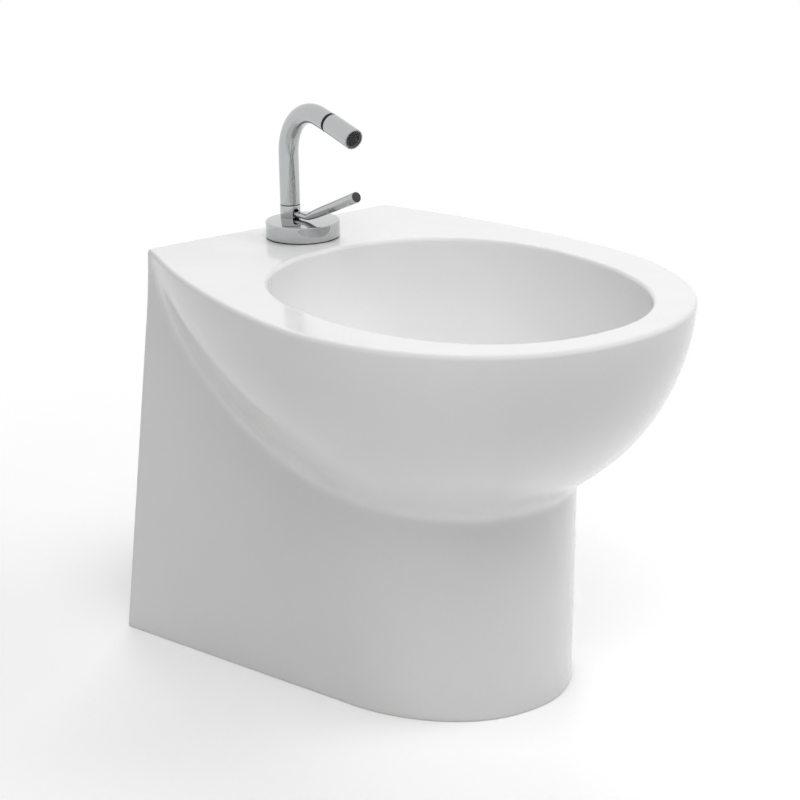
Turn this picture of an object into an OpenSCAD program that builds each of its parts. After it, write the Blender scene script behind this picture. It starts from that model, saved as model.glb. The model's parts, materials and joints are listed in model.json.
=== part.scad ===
// Floor standing bidet: a one-piece china bowl on a hollow pedestal, with a
// single-hole mixer tap on its rear deck and a push-plug waste with bottle trap.
// Millimetres. +Z up from the floor, -Y the front, +Y the wall side, X = 0 the
// plane of symmetry. The wall plane is Y = wall_y.

/* [Ceramic body] */
// Height of the rim above the floor
rim_h = 390; // [375:5:405]
// Depth from the wall to the front of the rim
body_d = 540; // [525:5:555]
// Greatest width of the rim
body_w = 410; // [396:2:424]
// Width of the deck at the wall
deck_back_w = 286; // [278:2:294]
// Width of the foot at the wall
foot_back_w = 384; // [370:2:390]
// Width of the pedestal where its sides turn into the round front
foot_front_w = 247; // [238:1:254]
// Length of the round front of the pedestal
foot_nose = 116; // [108:1:124]
// Thickness of the china
china_t = 12; // [10:0.5:13]
// Rounding of the rim's outer edge
rim_edge_r = 5; // [3:0.5:7]
// Width of the soft crease between bowl and pedestal
crease_soft = 26; // [16:1:36]

/* [Basin] */
// Width of the basin at the rim
basin_w = 311; // [301:1:319]
// Length of the basin at the rim in front of its widest point
basin_front = 206; // [198:1:208]
// Length of the basin at the rim behind its widest point
basin_back = 179; // [170:1:185]
// Depth of the basin from the rim to the drain seat
basin_depth = 150; // [138:2:156]
// Distance of the drain from the wall
drain_d = 262; // [250:2:276]
// Hole for the waste in the china
drain_hole_d = 46; // [44:0.5:48]

/* [Rear opening] */
// Width of the opening in the back
rear_w = 206; // [180:2:216]
// Height of the opening in the back
rear_h = 322; // [300:2:330]

/* [Tap] */
// Diameter of the tap's round base
tap_base_d = 74; // [68:1:78]
// Height of the tap's round base
tap_base_h = 15.5; // [14:0.5:18]
// Distance of the tap hole from the wall
tap_hole_y = 60; // [56:1:64]
// Tap hole in the deck
tap_hole_d = 35; // [34:0.5:36]
// Distance of the spout's upright behind the middle of the base
spout_back = 21.5; // [21:0.5:24]
// Diameter of the spout tube
spout_d = 20; // [19:0.5:21]
// Height of the spout's highest point above the deck
spout_top = 136.5; // [125:0.5:150]
// Distance from the spout's upright to the nozzle joint
spout_reach = 72.5; // [70:0.5:82]
// Slope of the spout's arm below the level
spout_fall = 12.5; // [8:0.5:15]
// Radius of the spout's bend on its centre line
spout_bend_r = 46; // [42:1:48]

/* [Lever] */
// Height of the turning collar
collar_h = 12; // [11:0.5:14]
// Diameter of the lever's neck
neck_d = 6; // [5:0.25:6.25]
// Length of the lever's stick
stick_len = 92; // [80:1:100]
// Length over which the stick swells from the neck
stick_flare = 13; // [8:1:20]
// Diameter of the stick where it has swollen
stick_root_d = 10.4; // [9:0.2:10.6]
// Diameter of the stick at its tip
stick_tip_d = 11; // [10.6:0.2:12.6]
// Rise of the stick above the level
stick_rise = 22.5; // [18:0.5:28]

/* [Nozzle] */
// Length of the nozzle sleeve
nozzle_len = 39; // [34:1:44]
// Tilt of the nozzle below the spout's arm
nozzle_tilt = 2; // [0:1:10]
// Width of the dark ring between spout and nozzle
nozzle_gap = 2.8; // [2.6:0.1:3.4]

/* [Waste and trap] */
// Flange of the waste in the basin
waste_flange_d = 62; // [60:1:64]
// Thread of the waste body
waste_thread_d = 42; // [41:0.5:43]
// Length of the waste body below the drain seat
waste_len = 66; // [60:1:72]
// Stroke of the push plug
plug_stroke = 8; // [6:0.5:9]
// Outer diameter of the drain pipes
pipe_d = 32; // [30:1:34]
// Height of the outlet pipe above the floor
outlet_h = 112; // [104:2:118]
// Outer diameter of the bottle trap
trap_d = 62; // [58:1:66]

/* [Hidden] */
$fn = 48;
eps = 0.01;
cut = 1;          // how far a cutter runs past what it cuts
run = 0.05;       // running clearance of a shaft in its bore

// ---- body outline: polar about the widest point of the rim ----
wall_y = body_d / 2;
wide_d = 300;                       // widest point of the rim from the wall
mid_y = wall_y - wide_d;
rim_a = body_w / 2;
rim_front = body_d - wide_d;
rim_front_n = 2.12;
rim_back_n = 1.71;
// length of the rear rim curve that passes through the deck's back corner
rim_back = wide_d / pow(1 - pow(deck_back_w / body_w, rim_back_n), 1 / rim_back_n);
bowl_side_depth = 196;              // where the bowl's side would close
bowl_side_m = 1.56;
bowl_side_n = 3.38;
bowl_front_depth = 210;             // where the bowl's front would close
bowl_front_m = 1.83;
bowl_front_n = 2.08;
ped_half = foot_front_w / 2;
ped_n = 2.25;
taper_foot = (foot_back_w / 2 - ped_half) / wide_d;
taper_deck = (deck_back_w / 2 - ped_half) / wide_d;
corner_k = 9;                       // rounding of the two upright back corners
crease_min = 0.01;
crease_grow = 70;                   // drop over which the crease reaches its full softness
far = 9999;

function super_r(a, l, n, s, c) = pow(pow(abs(s) / a, n) + pow(abs(c) / l, n), -1 / n);
// the greater or the lesser of two radii, blended without a step in curvature;
// where the two are equal the blend adds or takes k / 4
function blend(d, k) = let (reach = 1.5 * k, h = max(reach - abs(d), 0)) pow(h, 3) / (6 * reach * reach);
function soft_max(a, b, k) = max(a, b) + blend(a - b, k);
function soft_min(a, b, k) = min(a, b) - blend(a - b, k);
function closing(t, depth, m, n) = pow(max(1 - pow(max(t, 0) / depth, m), 0.00001), 1 / n);

function bowl_r(f, t) = cos(f) >= 0
    ? super_r(rim_a * closing(t, bowl_side_depth, bowl_side_m, bowl_side_n),
        rim_front * closing(t, bowl_front_depth, bowl_front_m, bowl_front_n),
        rim_front_n, sin(f), cos(f))
    : super_r(rim_a * closing(t, bowl_side_depth, bowl_side_m, bowl_side_n),
        rim_back * closing(t, bowl_side_depth, bowl_side_m, bowl_side_n),
        rim_back_n, sin(f), cos(f));

function taper(z) = taper_foot + (taper_deck - taper_foot) * z / rim_h;
function ped_front_r(s, c, m, r, steps) = steps == 0 ? r
    : ped_front_r(s, c, m, super_r(ped_half - m * r * c, foot_nose, ped_n, s, c), steps - 1);
function ped_r(f, z) = let (m = taper(z), s = abs(sin(f)), c = cos(f)) c >= 0
    ? ped_front_r(s, c, m, super_r(ped_half, foot_nose, ped_n, s, c), 8)
    : ped_half / max(s + m * c, 0.02);

function skin_r(f, z) = let (t = rim_h - z)
    soft_max(bowl_r(f, t), ped_r(f, z), crease_min + crease_soft * min(t / crease_grow, 1));
function wall_r(f, d) = cos(f) < -0.05 ? d / -cos(f) : far;
function outer_r(f, z) = soft_min(skin_r(f, z), wall_r(f, wide_d), corner_k);
// the wall is cut slantwise by a ray near the back corners, so the china is
// taken off along the ray in proportion
least_slant = 0.45;
function slant(f) = cos(f) >= 0 ? 1 : 1 / max(abs(sin(f)), least_slant);
function inner_r(f, z) = soft_min(skin_r(f, z) - china_t * slant(f),
    wall_r(f, wide_d - china_t), corner_k);

// half width of the skin at the wall, which gives the corner's angle
function bowl_wall_w(t) = let (k = closing(t, bowl_side_depth, bowl_side_m, bowl_side_n),
    l = rim_back * k) l <= wide_d ? 0
    : rim_a * k * pow(1 - pow(wide_d / l, rim_back_n), 1 / rim_back_n);
function wall_half_w(z) = max(bowl_wall_w(rim_h - z), ped_half + taper(z) * wide_d);
function corner_angle(z, d, off) = 180 - atan2(wall_half_w(z) - off, d);

ring_n = 72;
half_n = ring_n / 2;
side_n = 26;                         // steps from the front to the corner
corner_span = 0.7;                   // degrees either side of the corner
corner_n = 4;                        // steps round the corner
function half_angle(h, fc) = h <= side_n ? (fc - corner_span) * h / side_n
    : h <= side_n + corner_n ? fc - corner_span + (h - side_n) * 2 * corner_span / corner_n
    : fc + corner_span
        + (180 - fc - corner_span) * (h - side_n - corner_n) / (half_n - side_n - corner_n);
function ring_angle(i, fc) = i <= half_n ? half_angle(i, fc) : 360 - half_angle(ring_n - i, fc);
function at(f, r, z) = [r * sin(f), mid_y - r * cos(f), z];

function outer_ring(z, inset, level) = let (fc = corner_angle(z, wide_d, 0))
    [for (i = [0 : ring_n - 1]) let (f = ring_angle(i, fc)) at(f, outer_r(f, z) - inset, level)];
function inner_ring(z) = let (fc = corner_angle(z, wide_d - china_t, china_t))
    [for (i = [0 : ring_n - 1]) let (f = ring_angle(i, fc)) at(f, inner_r(f, z), z)];

// ---- basin ----
basin_n = 2.2;
basin_edge_r = 4;
seat_r = 36;                         // flat seat round the drain
seat_z = rim_h - basin_depth;
drain_y = wall_y - drain_d;
basin_steps = 13;
basin_run = 0.82;                    // how fast the basin narrows as it falls
basin_fall = 0.9;
basin_lean = 1.2;                    // how late its middle moves to the drain
function basin_rim_r(f) = super_r(basin_w / 2, cos(f) >= 0 ? basin_front : basin_back,
    basin_n, sin(f), cos(f));
// q runs from 0 at the rim to 90 at the seat; off thickens the shell outward
function basin_ring(q, off) = let (g = pow(cos(q), basin_run),
    drop = pow(sin(q), basin_fall) * (basin_depth - basin_edge_r),
    cy = mid_y + (drain_y - mid_y) * pow(1 - g, basin_lean))
    [for (i = [0 : ring_n - 1]) let (f = 360 * i / ring_n,
        r = seat_r + (basin_rim_r(f) - seat_r) * g + off * cos(q))
        [r * sin(f), cy - r * cos(f), rim_h - basin_edge_r - drop - off * sin(q)]];
function basin_edge_ring(a) = [for (i = [0 : ring_n - 1]) let (f = 360 * i / ring_n,
    r = basin_rim_r(f) + basin_edge_r * (1 - cos(a)))
    at(f, r, rim_h - basin_edge_r + basin_edge_r * sin(a))];

outer_low_steps = 4;
outer_high_steps = 19;
crease_drop = 200;                   // the bowl and the crease end this far below the rim
crease_low_z = rim_h - crease_drop;  // above this height the skin's rings lie closer
inner_steps = 13;
under_steps = 9;
edge_steps = 3;
ceiling_z = rim_h - china_t;

rings = concat(
    [for (k = [under_steps : -1 : 1]) basin_ring(90 * k / under_steps, china_t)],
    [[for (p = basin_ring(0, china_t)) [p[0], p[1], ceiling_z]]],
    [for (k = [inner_steps : -1 : 0]) inner_ring(ceiling_z * k / inner_steps)],
    [for (k = [0 : outer_low_steps]) outer_ring(crease_low_z * k / outer_low_steps, 0,
        crease_low_z * k / outer_low_steps)],
    [for (k = [1 : outer_high_steps]) let (z = crease_low_z
        + (rim_h - rim_edge_r - crease_low_z) * k / outer_high_steps) outer_ring(z, 0, z)],
    [for (k = [1 : edge_steps]) let (a = 90 * k / edge_steps)
        outer_ring(rim_h, rim_edge_r * (1 - cos(a)), rim_h - rim_edge_r + rim_edge_r * sin(a))],
    [for (k = [edge_steps : -1 : 1]) basin_edge_ring(90 * k / edge_steps)],
    [for (k = [0 : basin_steps]) basin_ring(90 * k / basin_steps, 0)]);
ring_count = len(rings);
shell_points = [for (r = rings) for (p = r) p];
shell_faces = concat(
    [[for (i = [0 : ring_n - 1]) i]],
    [for (k = [0 : ring_count - 2]) for (i = [0 : ring_n - 1]) let (j = (i + 1) % ring_n)
        [k * ring_n + i, (k + 1) * ring_n + i, (k + 1) * ring_n + j]],
    [for (k = [0 : ring_count - 2]) for (i = [0 : ring_n - 1]) let (j = (i + 1) % ring_n)
        [k * ring_n + i, (k + 1) * ring_n + j, k * ring_n + j]],
    [[for (i = [ring_n - 1 : -1 : 0]) (ring_count - 1) * ring_n + i]]);

module ceramic_body() color([0.93, 0.93, 0.92]) difference() {
    polyhedron(shell_points, shell_faces, convexity = 8);
    translate([0, tap_y, ceiling_z - cut]) cylinder(d = tap_hole_d, h = china_t + 2 * cut);
    translate([0, drain_y, seat_z - china_t - cut])
        cylinder(d = drain_hole_d, h = china_t + 2 * cut);
    rear_opening();
}

rear_corner_r = 30;
slab = china_t + 6;
module rear_opening() {
    translate([-rear_w / 2, wall_y - slab, -cut])
        cube([rear_w, slab + cut, rear_h + cut - rear_corner_r]);
    translate([-rear_w / 2 + rear_corner_r, wall_y - slab, 0])
        cube([rear_w - 2 * rear_corner_r, slab + cut, rear_h]);
    for (side = [-1, 1]) translate([side * (rear_w / 2 - rear_corner_r), wall_y + cut,
        rear_h - rear_corner_r]) rotate([90, 0, 0]) cylinder(r = rear_corner_r, h = slab + cut);
}

// ---- tap: fixed pieces ----
tap_y = wall_y - tap_hole_y;
pipe_y = tap_y + spout_back;
gasket_h = 1.2;
base_z = rim_h + gasket_h;
base_top = base_z + tap_base_h;
skirt_room = 0.8;                    // the skirt centres the base in the tap hole
skirt_d = tap_hole_d - 2 * skirt_room;
skirt_t = 2.6;
skirt_h = 7;
base_roof = 2.5;                     // metal above the inlets
inlet_len = tap_base_h - base_roof;
way_d = 4;                           // water ways inside the tap
way_shy = 3.2;                       // middle of the ways below the inlets' closed ends
way_z = base_z + inlet_len - way_shy;
core_d = 9.6;
core_bore = 6;
collar_top = base_top + collar_h;
ring_h = 1;
spout_z = collar_top + ring_h;
cart_d = 23;
cart_roof = 3;                       // metal above the cartridge
cart_h = tap_base_h - cart_roof;
cart_floor = 2;
inlet_x = 8.2;
inlet_off = 3;                       // inlets toward the wall from the middle of the base
inlet_y = tap_y + inlet_off;
inlet_r = 4.5;                       // tapped M10 x 1
stud_d = 6;
stud_off = 10.4;                     // stud in front of the middle of the base
stud_y = tap_y - stud_off;
stud_len = 50;
stud_sink = 9;
base_edge = 0.8;

gasket_in = 1;                       // gasket's edge inside the base's
module tap_gasket() color([0.16, 0.16, 0.17]) difference() {
    translate([0, tap_y, rim_h]) cylinder(d = tap_base_d - 2 * gasket_in, h = gasket_h);
    translate([0, tap_y, rim_h - cut]) cylinder(d = skirt_d + skirt_room, h = gasket_h + 2 * cut);
}

module tap_base() color([0.78, 0.79, 0.8]) difference() {
    union() {
        translate([0, tap_y, base_z])
            cylinder(d1 = tap_base_d - 2 * base_edge, d2 = tap_base_d, h = base_edge);
        translate([0, tap_y, base_z + base_edge])
            cylinder(d = tap_base_d, h = tap_base_h - 2 * base_edge);
        translate([0, tap_y, base_top - base_edge])
            cylinder(d1 = tap_base_d, d2 = tap_base_d - 2 * base_edge, h = base_edge);
        translate([0, tap_y, base_z - skirt_h]) cylinder(d = skirt_d, h = skirt_h + eps);
    }
    translate([0, tap_y, base_z - skirt_h - cut]) cylinder(d = skirt_d - 2 * skirt_t, h = skirt_h + cut);
    translate([0, pipe_y, base_z - cut]) cylinder(d = cart_d, h = cart_h + cut);
    translate([0, pipe_y, base_z]) cylinder(d = core_d, h = tap_base_h + cut);
    for (side = [-1, 1]) {
        translate([side * inlet_x, inlet_y, base_z - cut])
            cylinder(r = inlet_r, h = inlet_len + cut);
        translate([side * inlet_x, inlet_y, way_z]) rotate([-90, 0, 0])
            cylinder(d = way_d, h = pipe_y - inlet_y - core_bore / 2);
    }
    translate([0, stud_y, base_z - cut]) cylinder(d = stud_d, h = stud_sink + cut);
}

module cartridge() color([0.86, 0.86, 0.84]) difference() {
    translate([0, pipe_y, base_z]) cylinder(d = cart_d - 2 * run, h = cart_h);
    translate([0, pipe_y, base_z + cart_floor]) cylinder(d = core_bore, h = cart_h);
    for (side = [-1, 1]) translate([side * inlet_x, pipe_y, way_z])
        rotate([90, 0, 0]) cylinder(d = way_d, h = cart_d);
}

// spout: upright, wide bend and falling arm, all hollow, on a thin core
// that runs down through the collar into the base
arm_z = rim_h + spout_top - spout_d / 2;
bend_a = 90 + spout_fall;
bend_z = arm_z - spout_bend_r;
bend_end = [pipe_y - spout_bend_r - spout_bend_r * sin(spout_fall),
    bend_z + spout_bend_r * cos(spout_fall)];
arm_len = (spout_reach - spout_bend_r * (1 + sin(spout_fall))) / cos(spout_fall);
spout_t = 2;
spout_bore = spout_d - 2 * spout_t;
joint_y = bend_end[0] - arm_len * cos(spout_fall);
joint_z = bend_end[1] - arm_len * sin(spout_fall);

// places its children with +Z along the spout's arm, from the arm's end
module on_arm() translate([0, joint_y, joint_z]) rotate([90 + spout_fall, 0, 0]) children();

// The bend is a ring sector between two straight tubes. The straights lap over
// it and are a hair wider outside and narrower inside, as a brazed joint is.
joint_lap = 0.2;
joint_step = 0.08;
module at_bend() translate([0, pipe_y - spout_bend_r, bend_z]) rotate([90, 0, 90]) children();
module bend(d) at_bend() rotate_extrude(angle = bend_a) translate([spout_bend_r, 0]) circle(d = d);
module at_arm_root() translate([0, bend_end[0], bend_end[1]]) rotate([90 + spout_fall, 0, 0]) children();

core_z = base_z + cart_h;
spout_floor = 3;
socket_l = 9;
module spout() color([0.78, 0.79, 0.8]) difference() {
    union() {
        translate([0, pipe_y, spout_z]) cylinder(d = spout_d + joint_step, h = bend_z - spout_z + joint_lap);
        bend(spout_d);
        at_arm_root() translate([0, 0, -joint_lap])
            cylinder(d = spout_d + joint_step, h = arm_len + joint_lap);
        translate([0, pipe_y, core_z]) cylinder(d = core_d, h = spout_z - core_z + eps);
    }
    translate([0, pipe_y, spout_z + spout_floor])
        cylinder(d = spout_bore - joint_step, h = bend_z - spout_z - spout_floor + joint_lap);
    bend(spout_bore);
    at_arm_root() translate([0, 0, -joint_lap])
        cylinder(d = spout_bore - joint_step, h = arm_len + joint_lap + cut);
    translate([0, pipe_y, core_z - cut])
        cylinder(d = core_bore, h = spout_z + spout_floor - core_z + 2 * cut);
}

glide_in = 0.3;                      // dark joint's depth below the tube's surface
module glide_ring() color([0.12, 0.12, 0.13]) difference() {
    translate([0, pipe_y, collar_top]) cylinder(d = spout_d - 2 * glide_in, h = ring_h);
    translate([0, pipe_y, collar_top - cut]) cylinder(d = core_d, h = ring_h + 2 * cut);
}

// ---- tap: fixing under the deck ----
pad_d = 50;
pad_h = 3;
plate_d = 48;
plate_h = 2.5;
nut_h = 14;
nut_d = 11;
nut_rim_d = 14;
nut_rim_h = 2;
stud_z = base_z + stud_sink - stud_len;
stud_tip = 1;
mouth_w = 31;                        // the mouth that the two supply tails pass through
mouth_y = 10;
stud_room = 0.8;
module horseshoe(d, h) difference() {
    cylinder(d = d, h = h);
    translate([0, mouth_y, -cut]) cylinder(d = mouth_w, h = h + 2 * cut);
    translate([-mouth_w / 2, mouth_y, -cut]) cube([mouth_w, d, h + 2 * cut]);
    translate([0, stud_y - tap_y, -cut]) cylinder(d = stud_d + stud_room, h = h + 2 * cut);
}
module stud_pad() color([0.14, 0.14, 0.15])
    translate([0, tap_y, ceiling_z - pad_h]) horseshoe(pad_d, pad_h);
module stud_plate() color([0.62, 0.63, 0.65])
    translate([0, tap_y, ceiling_z - pad_h - plate_h]) horseshoe(plate_d, plate_h);
module tap_stud() color([0.72, 0.62, 0.38]) {
    translate([0, stud_y, stud_z + stud_tip]) cylinder(d = stud_d, h = stud_len - stud_tip);
    translate([0, stud_y, stud_z]) cylinder(d1 = stud_d - 2 * stud_tip, d2 = stud_d, h = stud_tip);
}
nut_top = ceiling_z - pad_h - plate_h;
module stud_nut() color([0.72, 0.62, 0.38]) difference() {
    union() {
        translate([0, stud_y, nut_top - nut_h]) cylinder(d = nut_d, h = nut_h, $fn = 6);
        translate([0, stud_y, nut_top - nut_rim_h]) cylinder(d = nut_rim_d, h = nut_rim_h);
    }
    translate([0, stud_y, nut_top - nut_h - cut]) cylinder(d = stud_d, h = nut_h + 2 * cut);
}

// ---- lever ----
collar_d = spout_d + 0.4;            // the turning pieces stand a hair proud of the tube
pin_out = 7.8;                       // pin's distance from the collar's axis
pin_d = 2;
pin_len = 12;
neck_up = 1;                         // neck above the base's top
neck_z = base_top + neck_up + neck_d / 2;
pivot_y = pipe_y - pin_out;
slot_side = 0.3;                     // room beside the neck in the collar's slot
slot_lift = 2.2;                     // and above it, for lifting
slot_w = neck_d + 2 * slot_side;
slot_top = neck_z + neck_d / 2 + slot_lift;
neck_knee = 0.4;                     // how much wider the ball at the neck's bend is
neck_back = 1.6;
neck_len = 22;
neck_in = 12;                        // how far the neck runs into the stick
stick_y = pivot_y - neck_len;

module lever_collar() color([0.8, 0.81, 0.82]) difference() {
    translate([0, pipe_y, base_top]) cylinder(d = collar_d, h = collar_h);
    translate([0, pipe_y, base_top - cut]) cylinder(d = core_d + 2 * run, h = collar_h + 2 * cut);
    translate([-slot_w / 2, pipe_y - collar_d, base_top - cut])
        cube([slot_w, collar_d - core_d / 2 + cut, slot_top - base_top + cut]);
    translate([-pin_len / 2, pivot_y, neck_z]) rotate([0, 90, 0]) cylinder(d = pin_d, h = pin_len);
}
module lever_pin() color([0.6, 0.61, 0.63])
    translate([-pin_len / 2, pivot_y, neck_z]) rotate([0, 90, 0]) cylinder(d = pin_d, h = pin_len);

// places its children with +Z along the stick, from the end of the neck
module on_stick() translate([0, stick_y, neck_z]) rotate([90 - stick_rise, 0, 0]) children();

module lever_neck() color([0.78, 0.79, 0.8]) difference() {
    union() {
        translate([0, pivot_y + neck_back, neck_z]) rotate([90, 0, 0])
            cylinder(d = neck_d, h = neck_len + neck_back);
        translate([0, stick_y, neck_z]) sphere(d = neck_d + neck_knee);
        on_stick() cylinder(d = neck_d, h = neck_in);
    }
    translate([-pin_len / 2, pivot_y, neck_z]) rotate([0, 90, 0])
        cylinder(d = pin_d + 2 * run, h = pin_len);
}
stick_from = 1.6;
stick_from_room = 0.6;               // how much wider than the neck the stick begins
stick_edge = 0.6;
flare_n = 8;
plug_in = 6;                         // depth of the socket in the stick's tip
plug_shy = 0.6;                      // how far the dark plug stands back in it
plug_wall = 0.6;
// the stick's radius over its flare, from 0 at the neck to 1 at its full width
function flare_r(t) = (neck_d + stick_from_room
    + (stick_root_d - neck_d - stick_from_room) * t * t * (3 - 2 * t)) / 2;
stick_side = [for (i = [0 : flare_n])
    [flare_r(i / flare_n), stick_from + stick_flare * i / flare_n]];
module lever_stick() color([0.78, 0.79, 0.8]) difference() {
    on_stick() rotate_extrude() polygon(concat([[0, stick_from]], stick_side,
        [[stick_tip_d / 2, stick_len - stick_edge], [stick_tip_d / 2 - stick_edge, stick_len],
        [0, stick_len]]));
    on_stick() cylinder(d = neck_d, h = neck_in);
    on_stick() translate([0, 0, stick_len - plug_in])
        cylinder(d = stick_tip_d - 2 * plug_wall, h = plug_in + cut);
}
module lever_plug() color([0.1, 0.1, 0.11]) on_stick() translate([0, 0, stick_len - plug_in])
    cylinder(d = stick_tip_d - 2 * plug_wall, h = plug_in - plug_shy);

// ---- nozzle: ball swivel, sleeve and aerator ----
ball_d = 12.6;
sleeve_back = 6;                     // sleeve's rear edge behind the ball's middle
ball_off = nozzle_gap + sleeve_back; // ball's middle in front of the arm's end
stem_d = 7;
ball_bore = 4;
sleeve_d = spout_d + 0.4;
sleeve_in = 1.2;                     // slope of the sleeve's rear edge
sleeve_edge = 1;
sleeve_front = nozzle_len - sleeve_back;
insert_d = 17;
swing_gap = 2;                       // room behind the sleeve's rear edge as it swings
seal_gap = 0.6;                      // and behind the retainer
ring_out_h = nozzle_gap - swing_gap;
ring_in_h = nozzle_gap - seal_gap;
ring_shy = 0.9;                      // dark ring's edge inside the tube's
ring_in_w = 1.75;

module nozzle_ring() color([0.1, 0.1, 0.11]) on_arm() difference() {
    union() {
        cylinder(d = spout_d - 2 * ring_shy, h = ring_out_h);
        cylinder(d = stem_d + 2 * ring_in_w, h = ring_in_h);
    }
    translate([0, 0, -cut]) cylinder(d = stem_d, h = nozzle_gap + 2 * cut);
}
module swivel_ball() color([0.7, 0.71, 0.72]) on_arm() difference() {
    union() {
        translate([0, 0, -socket_l]) cylinder(d = spout_bore - joint_step - 2 * run, h = socket_l);
        cylinder(d = stem_d, h = ball_off);
        translate([0, 0, ball_off]) sphere(d = ball_d);
    }
    translate([0, 0, -socket_l - cut]) cylinder(d = ball_bore, h = socket_l + ball_off + ball_d);
}
// places its children with +Z along the nozzle, from the ball's middle
module on_nozzle() on_arm() translate([0, 0, ball_off]) rotate([nozzle_tilt, 0, 0]) children();

module nozzle_sleeve() color([0.78, 0.79, 0.8]) on_nozzle() difference() {
    union() {
        translate([0, 0, -sleeve_back])
            cylinder(d1 = sleeve_d - 2 * sleeve_in, d2 = sleeve_d, h = sleeve_in);
        translate([0, 0, -sleeve_back + sleeve_in])
            cylinder(d = sleeve_d, h = nozzle_len - sleeve_in - sleeve_edge);
        translate([0, 0, sleeve_front - sleeve_edge])
            cylinder(d1 = sleeve_d, d2 = sleeve_d - 2 * sleeve_edge, h = sleeve_edge);
    }
    translate([0, 0, -sleeve_back - cut]) cylinder(d = insert_d, h = nozzle_len + 2 * cut);
}
retainer_front = 8;
retainer_shy = 1;                    // retainer's rear end inside the sleeve's
retainer_back = sleeve_back - retainer_shy;
stem_room = 3.1;                     // room round the stem at the retainer's rear end
stem_close = 0.5;                    // and next to the ball
water_d = 8;
module ball_retainer() color([0.2, 0.2, 0.21]) on_nozzle() difference() {
    translate([0, 0, -retainer_back]) cylinder(d = insert_d, h = retainer_back + retainer_front);
    sphere(d = ball_d + 2 * run);
    translate([0, 0, -sleeve_back])
        cylinder(d1 = stem_d + 2 * stem_room, d2 = stem_d + 2 * stem_close, h = retainer_back);
    cylinder(d = water_d, h = retainer_front + cut);
}
screen_in = 1.6;                     // how far the screen's seat lies inside the sleeve
screen_d = 13;
screen_h = 1.2;
screen_low = 2;
screen_step = 2.1;
screen_hole_d = 1.2;
screen_side = 2;                     // steps of the screen's holes either side of its middle
screen_reach = 2.7;                  // and how far out they go, in steps
aer_len = 15;
aer_cup = 3;
module aerator_body() color([0.2, 0.2, 0.21])
    on_nozzle() translate([0, 0, sleeve_front - screen_in - aer_len]) difference() {
        cylinder(d = insert_d, h = aer_len);
        translate([0, 0, -cut]) cylinder(d = water_d, h = aer_len + 2 * cut);
        translate([0, 0, aer_len - aer_cup]) cylinder(d = screen_d, h = aer_cup + cut);
    }
module aerator_screen() color([0.2, 0.2, 0.21])
    on_nozzle() translate([0, 0, sleeve_front - screen_in - screen_low]) difference() {
        cylinder(d = screen_d, h = screen_h);
        for (i = [-screen_side : screen_side]) for (j = [-screen_side : screen_side])
            if (norm([i, j]) < screen_reach) translate([i * screen_step, j * screen_step, -cut])
                cylinder(d = screen_hole_d, h = screen_h + 2 * cut);
    }

// ---- waste ----
flange_h = 3;
flange_in = 2;                       // slope of the flange's edge
flange_gasket_h = 1.5;
flange_gasket_in = 1.5;              // gasket's edge inside the flange's
flange_z = seat_z + flange_gasket_h;
flange_top = flange_z + flange_h;
under_z = seat_z - china_t;
waste_bottom = seat_z - waste_len;
waste_bore = 34;
seal_h = 5;
seal_d = 60;
seal_in = 3;
waste_nut_h = 9;
waste_nut_d = 60;
waste_washer_d = 58;
waste_washer_h = 2;
recess_h = 2.5;                      // recess of the flange that the closed plug lies in
recess_low_d = 44;
recess_top_d = 50;
recess_z = flange_top - recess_h;
module at_drain(z) translate([0, drain_y, z]) children();

module waste_gasket() color([0.16, 0.16, 0.17]) at_drain(seat_z) difference() {
    cylinder(d = waste_flange_d - 2 * flange_gasket_in, h = flange_gasket_h);
    translate([0, 0, -cut]) cylinder(d = waste_thread_d, h = flange_gasket_h + 2 * cut);
}
module waste_body() color([0.78, 0.79, 0.8]) difference() {
    union() {
        at_drain(flange_z)
            cylinder(d1 = waste_flange_d, d2 = waste_flange_d - 2 * flange_in, h = flange_h);
        at_drain(waste_bottom) cylinder(d = waste_thread_d, h = flange_z - waste_bottom + eps);
    }
    at_drain(waste_bottom - cut) cylinder(d = waste_bore, h = flange_top - waste_bottom + 2 * cut);
    at_drain(recess_z) cylinder(d1 = recess_low_d, d2 = recess_top_d, h = recess_h + eps);
}
module waste_seal() color([0.16, 0.16, 0.17]) at_drain(under_z - seal_h) difference() {
    cylinder(d1 = seal_d - 2 * seal_in, d2 = seal_d, h = seal_h);
    translate([0, 0, -cut]) cylinder(d = waste_thread_d, h = seal_h + 2 * cut);
}
module waste_nut() color([0.78, 0.79, 0.8]) at_drain(under_z - seal_h - waste_nut_h) difference() {
    union() {
        cylinder(d = waste_nut_d, h = waste_nut_h, $fn = 6);
        translate([0, 0, waste_nut_h - waste_washer_h])
            cylinder(d = waste_washer_d, h = waste_washer_h);
    }
    translate([0, 0, -cut]) cylinder(d = waste_thread_d, h = waste_nut_h + 2 * cut);
}

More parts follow.
